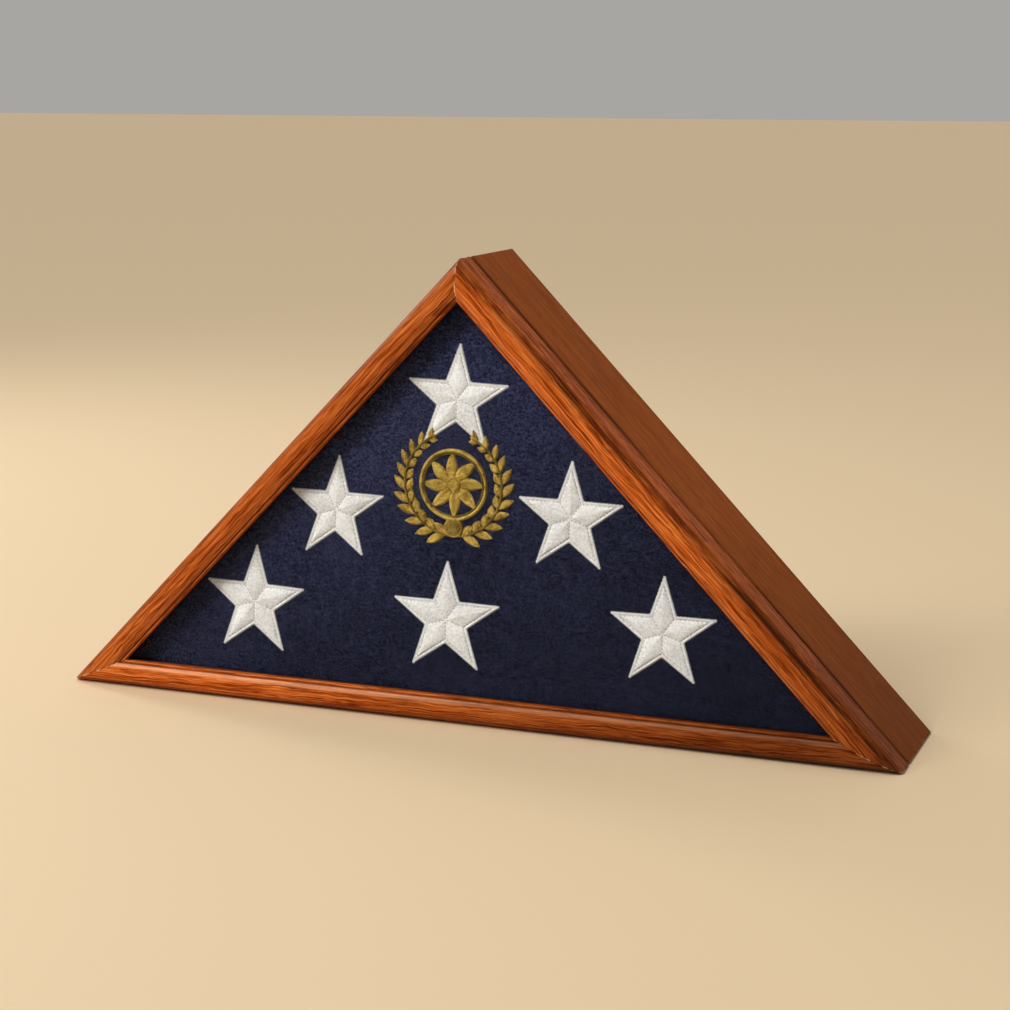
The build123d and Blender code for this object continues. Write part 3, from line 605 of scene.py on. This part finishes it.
def make_flag():
    """The folded bundle: remeshed, puffed up as cloth, then kept inside its space."""
    source = nodes["folded_flag"]
    mesh = source.data.copy()
    mesh.name = "flag_bundle"
    mesh.materials.clear()
    mesh.materials.append(NAVY)
    bundle = bpy.data.objects.new("flag_bundle", mesh)
    bpy.context.scene.collection.objects.link(bundle)
    co = points_of(bundle)
    middle = np.array([0.0, (flag_low.y + flag_high.y) / 2, PAD_T + 0.32 * CASE_H])
    shrink = np.array([0.986, 0.955, 0.986])
    co = middle + (co - middle) * shrink
    mesh.vertices.foreach_set("co", co.ravel())
    mesh.update()
    bpy.ops.object.select_all(action="DESELECT")
    bundle.select_set(True)
    bpy.context.view_layer.objects.active = bundle
    remesh = bundle.modifiers.new("remesh", "REMESH")
    remesh.mode = "VOXEL"
    remesh.voxel_size = FLAG_VOXEL
    bpy.ops.object.modifier_apply(modifier="remesh")
    before = points_of(bundle)
    cloth = bundle.modifiers.new("cloth", "CLOTH")
    cloth.settings.quality = 5
    cloth.settings.mass = 0.25
    cloth.settings.tension_stiffness = 22
    cloth.settings.compression_stiffness = 22
    cloth.settings.shear_stiffness = 8
    cloth.settings.bending_stiffness = 3
    cloth.settings.use_pressure = True
    cloth.settings.uniform_pressure_force = 4.0
    cloth.settings.effector_weights.gravity = 0.0
    cloth.collision_settings.use_collision = False
    scene = bpy.context.scene
    for step in range(1, 21):
        scene.frame_set(step)
    bpy.ops.object.modifier_apply(modifier="cloth")
    scene.frame_set(1)
    after = points_of(bundle)
    moved = after - before
    length = np.linalg.norm(moved, axis=1, keepdims=True)
    after = before + moved * np.minimum(1.0, FLAG_CAP / np.maximum(length, 1e-9))
    bundle.data.vertices.foreach_set("co", after.ravel())
    softer = bundle.modifiers.new("softer", "SMOOTH")
    softer.factor = 0.5
    softer.iterations = 4
    bpy.ops.object.modifier_apply(modifier="softer")
    finer = bundle.modifiers.new("finer", "SUBSURF")
    finer.levels = finer.render_levels = 1
    bpy.ops.object.modifier_apply(modifier="finer")
    shape_flag(bundle)
    bundle.data.polygons.foreach_set("use_smooth", [True] * len(bundle.data.polygons))
    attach(bundle, "case")
    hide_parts("folded_flag")
    return bundle


def waves(x, z, terms, seed):
    """Gentle unevenness, from a few sines of different lengths."""
    made = np.zeros_like(x)
    draw = np.random.default_rng(seed)
    for length, size in terms:
        turn = draw.uniform(0, math.tau, 3)
        made += size * np.sin(math.tau / length * (x * math.cos(turn[0]) + z * math.sin(turn[0])) + turn[1])
    return made


def shape_flag(bundle):
    """Fold lines on the edges and back, a nearly flat front, and clearance all round."""
    co = points_of(bundle)
    x, y, z = co.T.copy()
    gap = inset(x, z)
    depth = (y - flag_low.y) / (flag_high.y - flag_low.y)
    front = smooth((0.36 - depth) / 0.14)
    side = smooth((34 * MM - gap) / (16 * MM)) * smooth(depth / 0.1) * smooth((1 - depth) / 0.08)
    layers = np.abs(np.sin(math.pi * (y / (5.6 * MM) + waves(x, z, ((0.31, 0.35), (0.11, 0.2)), 3))))
    pull = side * 1.5 * MM * (1 - layers) ** 1.6
    centre = np.array([0.0, PAD_T + 0.31 * CASE_H])
    away = np.stack([x - centre[0], z - centre[1]], 1)
    away /= np.maximum(np.linalg.norm(away, axis=1, keepdims=True), 1e-6)
    x -= away[:, 0] * pull
    z -= away[:, 1] * pull
    swell = smooth((gap - 16 * MM) / (45 * MM))
    level = flag_low.y - 0.3 * MM * swell
    level += waves(x, z, ((0.21, 0.20 * MM), (0.13, 0.13 * MM), (0.072, 0.06 * MM)), 5) * swell
    level += 0.35 * MM * (1 - swell)
    y = y * (1 - front) + level * front
    back = smooth((depth - 0.82) / 0.13)
    flap = x * 0.86 + (z - PAD_T - 0.03) * 0.42
    fold = smooth((flap + 0.012) / (5 * MM)) * 3.0 * MM
    crease = np.exp(-((flap + 0.012) / (2.6 * MM)) ** 2) * 1.6 * MM
    tuck = (z - PAD_T) * 0.93 - x * 0.30 - 0.085
    fold += smooth(tuck / (4 * MM)) * 1.8 * MM
    rear = flag_high.y - 4.6 * MM + fold - crease
    rear += waves(x, z, ((0.17, 0.5 * MM), (0.09, 0.25 * MM)), 9)
    rear = np.minimum(rear, LINING_FACE - 0.7 * MM)
    shoulder = np.minimum(1.0, np.maximum(gap - 13 * MM, 0) / (12 * MM))
    rear_limit = flag_high.y - 12.5 * MM * (1 - shoulder)
    y = y * (1 - back) + np.minimum(rear, rear_limit) * back
    slanted = (HALF_W - np.abs(x)) * SIN_B - (z - PAD_T) * COS_B
    spread = 0.6 * front * np.maximum(EDGE_REACH - slanted, 0)
    x += np.sign(x) * spread * SIN_B
    z += spread * COS_B - 0.6 * front * np.maximum(EDGE_REACH - (z - PAD_T), 0)
    room = np.where((y > DOOR_STOP_FACE - 1.5 * MM), 23.2 * MM, 13.2 * MM)
    slanted = (HALF_W - np.abs(x)) * SIN_B - (z - PAD_T) * COS_B
    short = np.maximum(room - slanted, 0)
    x -= np.sign(x) * short * SIN_B
    z -= short * COS_B
    z = np.maximum(z, flag_low.z + 0.15 * MM)
    gap = inset(x, z)
    y = np.where(gap < 17.2 * MM, np.maximum(y, STOP_REAR + 0.5 * MM), y)
    bundle.data.vertices.foreach_set("co", np.stack([x, y, z], 1).ravel())
    bundle.data.update()


flag = make_flag()
flag_tree = tree_over(flag)


# ---- sewn stars ----------------------------------------------------------
def star_corners(node):
    """The ten corners of a CAD star, counted from the top point, as rows of x and z."""
    co = points_of(nodes[node])
    flat = np.unique(np.round(co[:, [0, 2]], 6), axis=0)
    centre = flat.mean(axis=0)
    reach = np.linalg.norm(flat - centre, axis=1)
    angle = np.degrees(np.arctan2(flat[:, 1] - centre[1], flat[:, 0] - centre[0]))
    order = np.argsort(-angle)
    flat, reach = flat[order], reach[order]
    tips = np.where(reach > reach.mean())[0]
    top = tips[np.argmax(flat[tips, 1])]
    return centre, np.roll(flat, -top, axis=0)


def away_from(points, a, b):
    """Distance of each point from a segment, and how far along the segment it lies."""
    d = b - a
    t = np.clip(((points - a) @ d) / (d @ d), 0, 1)
    return np.linalg.norm(points - a - t[:, None] * d, axis=1), t * np.linalg.norm(d)


STAR_CUTS = 34
RIM_W = 1.5 * MM
PUFF = 1.45 * MM


def star_height(points, centre, corners, seed):
    """How far the star stands off the flag: rolled rim, sewn channel, padded arms, seams."""
    edge = np.full(len(points), 1.0)
    for i in range(10):
        edge = np.minimum(edge, away_from(points, corners[i], corners[(i + 1) % 10])[0])
    seam = np.full(len(points), 1.0)
    for i in range(1, 10, 2):
        seam = np.minimum(seam, away_from(points, centre, corners[i])[0])
    rim = 0.55 * MM * smooth(edge / (0.45 * MM))
    channel = 0.36 * MM * np.exp(-(((edge - 1.9 * MM) / (0.55 * MM)) ** 2))
    puff = PUFF * (1 - np.exp(-np.maximum(edge - RIM_W, 0) / (4.2 * MM)))
    puff *= 1 - 0.62 * np.exp(-((seam / (3.4 * MM)) ** 2))
    groove = 0.45 * MM * np.exp(-((seam / (0.75 * MM)) ** 2)) * smooth(edge / (2.5 * MM))
    folds = ((0.019, 0.07 * MM), (0.011, 0.05 * MM), (0.0065, 0.03 * MM))
    crumple = waves(points[:, 0], points[:, 1], folds, seed)
    return np.maximum(rim - channel + puff - groove + crumple * smooth(edge / (2 * MM)), 0.05 * MM)


def make_star(node, seed):
    """A padded star with its own back, sewn to the flag."""
    centre, corners = star_corners(node)
    points, faces, index = [], [], {}

    def at(p):
        key = (round(p[0] * 1e7), round(p[1] * 1e7))
        if key not in index:
            index[key] = len(points)
            points.append(p)
        return index[key]

    n = STAR_CUTS
    for i in range(10):
        a, b = corners[i], corners[(i + 1) % 10]
        rows = []
        for r in range(n + 1):
            share = r / n
            share = 1 - (1 - share) ** 1.35
            left, right = centre + (a - centre) * share, centre + (b - centre) * share
            rows.append([at(left + (right - left) * (k / max(r, 1))) for k in range(r + 1)])
        for r in range(n):
            for k in range(r + 1):
                faces.append((rows[r][k], rows[r + 1][k], rows[r + 1][k + 1]))
                if k < r:
                    faces.append((rows[r][k], rows[r + 1][k + 1], rows[r][k + 1]))
    flat = np.array(points)
    height = star_height(flat, centre, corners, seed)
    ground = surface_y(flag_tree, flat[:, 0], flat[:, 1])
    top = np.stack([flat[:, 0], ground - height, flat[:, 1]], 1)
    low = np.stack([flat[:, 0], ground + 0.25 * MM, flat[:, 1]], 1)
    count = len(flat)
    seen = {}
    for f in faces:
        for a, b in ((f[0], f[1]), (f[1], f[2]), (f[2], f[0])):
            seen[(a, b)] = True
    rim = [(a, b) for a, b in seen if (b, a) not in seen]
    closed = list(faces)
    closed += [(f[2] + count, f[1] + count, f[0] + count) for f in faces]
    closed += [(b, a, a + count, b + count) for a, b in rim]
    name = node.replace("star", "sewn_star")
    made = piece(name, np.concatenate([top, low]), closed, [WHITE], "case")
    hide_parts(node)
    return made, centre, corners


def stitches(name, runs, tree, material, length, gap, width, lift, seed, across=False):
    """Short thread loops that follow lines on a surface, or lie across them in a zigzag."""
    draw = np.random.default_rng(seed)
    points, faces = [], []
    around, along = 6, 5
    for a, b in runs:
        span = np.linalg.norm(b - a)
        step = gap if across else length + gap
        count = max(1, int(span / step))
        pitch = span / count
        run = (b - a) / span
        lean = 1.25 if across else 0.0
        for i in range(count):
            tilt = lean + draw.normal(0, 0.07)
            if across and i % 2:
                tilt = math.pi - tilt
            course = np.array([
                run[0] * math.cos(tilt) - run[1] * math.sin(tilt),
                run[0] * math.sin(tilt) + run[1] * math.cos(tilt),
            ])
            normal = np.array([-course[1], course[0]])
            mid = a + run * (pitch * (i + 0.5)) + normal * draw.normal(0, 0.05 * MM)
            half = length * draw.uniform(0.42, 0.54)
            line = np.array([mid + course * half * s for s in np.linspace(-1, 1, along)])
            depth = surface_y(tree, line[:, 0], line[:, 1])
            base = len(points)
            for k in range(along):
                s = abs(2 * k / (along - 1) - 1)
                radius = width / 2 * math.sqrt(max(1 - s**4, 0.03))
                rise = lift * (1 - s**2)
                for j in range(around):
                    turn = math.tau * j / around
                    off = normal * (radius * math.cos(turn))
                    points.append((
                        line[k, 0] + off[0],
                        depth[k] - rise + radius * 0.8 * math.sin(turn),
                        line[k, 1] + off[1],
                    ))
            for k in range(along - 1):
                for j in range(around):
                    p, q = base + k * around, base + (k + 1) * around
                    faces.append((p + j, p + (j + 1) % around, q + (j + 1) % around, q + j))
            faces.append(tuple(base + j for j in reversed(range(around))))
            faces.append(tuple(base + (along - 1) * around + j for j in range(around)))
    return piece(name, points, faces, [material], "case")


def inner_outline(centre, corners, by):
    """The star's outline moved inwards, as lines between its corners."""
    lines = []
    for i in range(10):
        a, b = corners[i], corners[(i + 1) % 10]
        d = (b - a) / np.linalg.norm(b - a)
        n = np.array([-d[1], d[0]])
        if (centre - a) @ n < 0:
            n = -n
        lines.append((a + n * by, d))
    moved = []
    for i in range(10):
        (p, d), (q, e) = lines[i - 1], lines[i]
        solve = np.linalg.solve(np.array([d, -e]).T, q - p)
        moved.append(p + d * solve[0])
    return moved


sewn = {}
STAR_NAMES = ("top", "middle_left", "middle_right", "lower_left", "lower_middle", "lower_right")
for number, name in enumerate(STAR_NAMES):
    star, centre, corners = make_star(f"star_{name}", 20 + number)
    sewn[name] = star
    over = tree_over(star, flag)
    ring = inner_outline(centre, corners, 0.05 * MM)
    runs = [(ring[i], ring[(i + 1) % 10]) for i in range(10)]
    stitches(
        f"edge_thread_{name}", runs, over, WHITE_THREAD,
        1.9 * MM, 1.3 * MM, 0.7 * MM, 0.25 * MM, 40 + number, across=True,
    )
    ring = inner_outline(centre, corners, 2.0 * MM)
    runs = [(ring[i], ring[(i + 1) % 10]) for i in range(10)]
    stitches(
        f"outline_thread_{name}", runs, over, SEAM_THREAD,
        1.5 * MM, 1.3 * MM, 0.42 * MM, 0.05 * MM, 50 + number,
    )
    waists = [corners[i] for i in range(1, 10, 2)]
    runs = [(centre + (waist - centre) * 0.04, waist + (centre - waist) * 0.10) for waist in waists]
    stitches(
        f"seam_thread_{name}", runs, over, SEAM_THREAD,
        1.6 * MM, 1.0 * MM, 0.5 * MM, 0.05 * MM, 60 + number,
    )

# ---- embroidered emblem: a laurel wreath tied round a ring with a flower in it ----
EMBLEM = np.array((-7.2, 174.0 + PAD_T / MM))
WREATH_R = 37.5
WREATH_FOOT, WREATH_TIP = -87.0, 66.0
LEAF_PAIRS = 11
OUTER_LEAF, INNER_LEAF, LEAF_W, LEAF_OPENING = 16.0, 12.0, 6.5, 34.0
RING_R, RING_W = 25.0, 3.0
PETALS, PETAL_W = 8, 9.0
EYE_R = 5.0
TIE_R, TIE_Z = 7.5, -(WREATH_R + RING_R) / 2
emblem_tree = tree_over(flag, sewn["top"])


def emblem_place(p):
    """Points of the emblem, measured from its middle in millimetres, at their place on the flag."""
    return (EMBLEM + p) * MM


def toward(degrees):
    return np.array((math.cos(math.radians(degrees)), math.sin(math.radians(degrees))))


def branch_point(share):
    """Point and course of the right-hand branch, from its foot to its tip."""
    turn = WREATH_FOOT + (WREATH_TIP - WREATH_FOOT) * share
    return WREATH_R * toward(turn), turn + 90


class Needlework:
    """Collects raised satin-stitch shapes into one closed-shell mesh."""

    def __init__(self):
        self.points, self.faces, self.uvs, self.shades = [], [], [], []
        self.shade = 0

    def shell(self, plane, rise, uv, rows, cols, wrap=False):
        """A grid of points in emblem millimetres with a height each, closed by a flat back."""
        placed = emblem_place(plane)
        ground = surface_y(emblem_tree, placed[:, 0], placed[:, 1])
        base = len(self.points)
        count = rows * cols
        for (x, z), y, h in zip(placed, ground, rise):
            self.points.append((x, max(y - h * MM, GLASS_REAR + 0.2 * MM), z))
        for (x, z), y in zip(placed, ground):
            self.points.append((x, y + 0.2 * MM, z))
        self.uvs += [tuple(c) for c in uv] * 2
        wide = cols if wrap else cols - 1
        edges = {}
        made = []
        for r in range(rows - 1):
            for k in range(wide):
                a = r * cols + k
                b = r * cols + (k + 1) % cols
                made.append((a, b, b + cols, a + cols))
        for f in made:
            for a, b in zip(f, f[1:] + f[:1]):
                edges[(a, b)] = True
        rim = [(a, b) for a, b in edges if (b, a) not in edges]
        for f in made:
            self.faces.append(tuple(base + i for i in f))
            self.faces.append(tuple(base + count + i for i in reversed(f)))
        for a, b in rim:
            self.faces.append((base + b, base + a, base + a + count, base + b + count))
        self.shades += [self.shade] * (len(self.faces) - len(self.shades))

    def leaf(self, side, foot, course, length, width, rise=1.15, rib=0.35):
        """A pointed leaf with a sunk midrib and slanting stitches."""
        rows, cols = max(10, round(length * 1.9)), 9
        ahead = math.radians(course)
        plane, up, uv = [], [], []
        for r in range(rows):
            s = r / (rows - 1)
            wide = width / 2 * math.sin(math.pi * min(max(s, 0.012), 0.988)) ** 0.85
            bend = 0.045 * length * math.sin(math.pi * s)
            for k in range(cols):
                v = 2 * k / (cols - 1) - 1
                run, off = length * s, wide * v + bend
                plane.append((
                    side * (foot[0] + run * math.cos(ahead) - off * math.sin(ahead)),
                    foot[1] + run * math.sin(ahead) + off * math.cos(ahead),
                ))
                dome = math.sqrt(max(1 - v * v, 0)) * math.sin(math.pi * min(max(s, 0.03), 0.97)) ** 0.35
                strand = 0.13 * math.sin(math.tau * (run + abs(v) * width * 0.4) / 1.35)
                up.append(0.12 + (rise + strand) * dome - rib * math.exp(-((v / 0.2) ** 2)) * dome)
                uv.append((run, wide * v))
        if side < 0:
            grid = np.array(plane).reshape(rows, cols, 2)[:, ::-1].reshape(-1, 2)
            up = np.array(up).reshape(rows, cols)[:, ::-1].ravel()
            uv = np.array(uv).reshape(rows, cols, 2)[:, ::-1].reshape(-1, 2)
            plane = grid
        self.shell(np.array(plane), up, uv, rows, cols)

    def cord(self, line, width, rise, closed=False):
        """A couched cord along a line of points."""
        line = np.array(line, float)
        cols = 7
        around = np.roll(line, -1, 0) - np.roll(line, 1, 0) if closed else np.gradient(line, axis=0)
        course = around / np.maximum(np.linalg.norm(around, axis=1, keepdims=True), 1e-9)
        normal = np.stack([-course[:, 1], course[:, 0]], 1)
        run = np.concatenate([[0], np.cumsum(np.linalg.norm(np.diff(line, axis=0), axis=1))])
        if closed:
            line, normal = np.concatenate([line, line[:1]]), np.concatenate([normal, normal[:1]])
            run = np.concatenate([run, [run[-1] + np.linalg.norm(line[-1] - line[-2])]])
        plane, up, uv = [], [], []
        for p, n, s in zip(line, normal, run):
            for k in range(cols):
                v = 1 - 2 * k / (cols - 1)
                plane.append(p + n * v * width / 2)
                up.append(0.12 + rise * math.sqrt(max(1 - v * v, 0)))
                uv.append((s, v * width / 2))
        plane = np.array(plane).reshape(len(line), cols, 2)[:, ::-1].reshape(-1, 2)
        self.shell(plane, up, uv, len(line), cols)

    def disc(self, centre, radius, profile):
        """A round field, its height given from middle to edge."""
        rings, cols = 12, 44
        plane, up, uv = [], [], []
        for r in range(rings):
            s = max(r / (rings - 1), 0.02)
            for k in range(cols):
                turn = math.tau * k / cols
                x, z = radius * s * math.cos(turn), radius * s * math.sin(turn)
                plane.append((centre[0] + x, centre[1] + z))
                up.append(profile(s))
                uv.append((radius * s, 0.0))
        self.shell(np.array(plane), up, uv, rings, cols, wrap=True)

    def ring(self, centre, radius, width, rise):
        """A couched cord round a circle."""
        line = [centre + radius * toward(turn) for turn in np.linspace(0, 360, 72, endpoint=False)]
        self.cord(line, width, rise, closed=True)


needle = Needlework()
draw = np.random.default_rng(77)
for side in (-1, 1):
    for pair in range(LEAF_PAIRS):
        share = (pair + 0.5) / LEAF_PAIRS
        point, course = branch_point(share)
        size = (1 - 0.4 * share**2) * draw.uniform(0.94, 1.03)
        lean = draw.normal(0, 2.0)
        needle.leaf(side, point, course - LEAF_OPENING + lean, OUTER_LEAF * size, LEAF_W * size, 1.2)
        needle.leaf(side, point, course + LEAF_OPENING + lean, INNER_LEAF * size, LEAF_W * size, 1.1)
    needle.leaf(side, point, course, INNER_LEAF * size, LEAF_W * size)
    stem = [branch_point(share)[0] for share in np.linspace(0, 1, 40)]
    needle.shade = 1
    needle.cord([(side * p[0], p[1]) for p in stem], 2.2, 1.6)
    needle.shade = 0
MIDDLE = np.zeros(2)
for petal in range(PETALS):
    needle.leaf(1, MIDDLE, 90 + 360 / PETALS * petal, RING_R - 1.0, PETAL_W, 1.5, 0.5)
needle.disc(MIDDLE, EYE_R, lambda s: 2.4 - 0.9 * s * s)
needle.ring(MIDDLE, EYE_R, 1.4, 1.9)
needle.ring(MIDDLE, RING_R, RING_W, 1.9)
needle.shade = 1
needle.ring(MIDDLE, RING_R - 2.2, 1.2, 1.2)
needle.disc((0.0, TIE_Z), TIE_R - 1.0, lambda s: 2.2 - 0.9 * s * s)
needle.shade = 0
needle.ring(np.array((0.0, TIE_Z)), TIE_R - 1.0, 1.8, 1.7)
golds = [GOLD, DARK_GOLD]
emblem = piece(
    "gold_emblem", needle.points, needle.faces, golds, "case", needle.shades, needle.uvs
)
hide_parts("emblem")

# ---- stage, lights and camera --------------------------------------------
floor_mesh = bpy.data.meshes.new("floor")
REACH = 30.0
floor_mesh.from_pydata(
    [(-REACH, -REACH, 0), (REACH, -REACH, 0), (REACH, REACH, 0), (-REACH, REACH, 0)], [], [(0, 1, 2, 3)]
)
floor = bpy.data.objects.new("floor", floor_mesh)
bpy.context.scene.collection.objects.link(floor)
paper = Tree("pale_paper")
paper.sets(Roughness=0.85, Specular_IOR_Level=0.2)
paper.shader.inputs["Base Color"].default_value = (0.82, 0.645, 0.42, 1.0)
floor_mesh.materials.append(paper.material)

world = bpy.data.worlds.new("studio")
bpy.context.scene.world = world
world.use_nodes = True
backing = world.node_tree.nodes["Background"]
backing.inputs["Color"].default_value = (0.93, 0.90, 0.86, 1.0)
backing.inputs["Strength"].default_value = 0.42


def lamp(name, place, target, size, power, colour):
    data = bpy.data.lights.new(name, "AREA")
    data.shape = "RECTANGLE"
    data.size, data.size_y = size
    data.energy = power
    data.color = colour
    made = bpy.data.objects.new(name, data)
    made.location = place
    made.rotation_mode = "QUATERNION"
    made.rotation_quaternion = (Vector(target) - Vector(place)).to_track_quat("-Z", "Y")
    bpy.context.scene.collection.objects.link(made)


lamp("key", (-1.25, -1.35, 1.35), (-0.1, 0, 0.12), (0.8, 0.8), 17, (1.0, 0.985, 0.96))
lamp("edge", (-1.5, 0.7, 1.3), (-0.1, 0, 0.2), (0.5, 1.2), 9, (1.0, 0.97, 0.94))

sun_data = bpy.data.lights.new("sky_window", "SUN")
sun_data.energy = 1.15
sun_data.angle = 0.5
sun_data.color = (1.0, 0.975, 0.94)
sun = bpy.data.objects.new("sky_window", sun_data)
sun.rotation_mode = "QUATERNION"
sun.rotation_quaternion = Vector((0.75, 0.85, -1.25)).to_track_quat("-Z", "Y")
bpy.context.scene.collection.objects.link(sun)

camera_data = bpy.data.cameras.new("camera")
camera = bpy.data.objects.new("camera", camera_data)
bpy.context.scene.collection.objects.link(camera)
bpy.context.scene.camera = camera
camera_data.lens = 77.385
camera_data.sensor_width = 36.0
camera_data.clip_start = 0.05
camera_data.clip_end = 200.0
YAW, PITCH, ROLL = -0.36831, -0.19022, 0.00362
ahead = Vector((math.sin(YAW) * math.cos(PITCH), math.cos(YAW) * math.cos(PITCH), math.sin(PITCH)))
level = Vector((math.cos(YAW), -math.sin(YAW), 0))
upright = level.cross(ahead)
across = level * math.cos(ROLL) + upright * math.sin(ROLL)
up = upright * math.cos(ROLL) - level * math.sin(ROLL)
width = 2 * HALF_W
camera.location = (0.8932 * width, FRONT - 2.16004 * width, PAD_T + 0.70125 * width)
camera.rotation_mode = "QUATERNION"
camera.rotation_quaternion = Matrix((across, up, -ahead)).transposed().to_quaternion()

bpy.context.scene.view_settings.view_transform = "Standard"
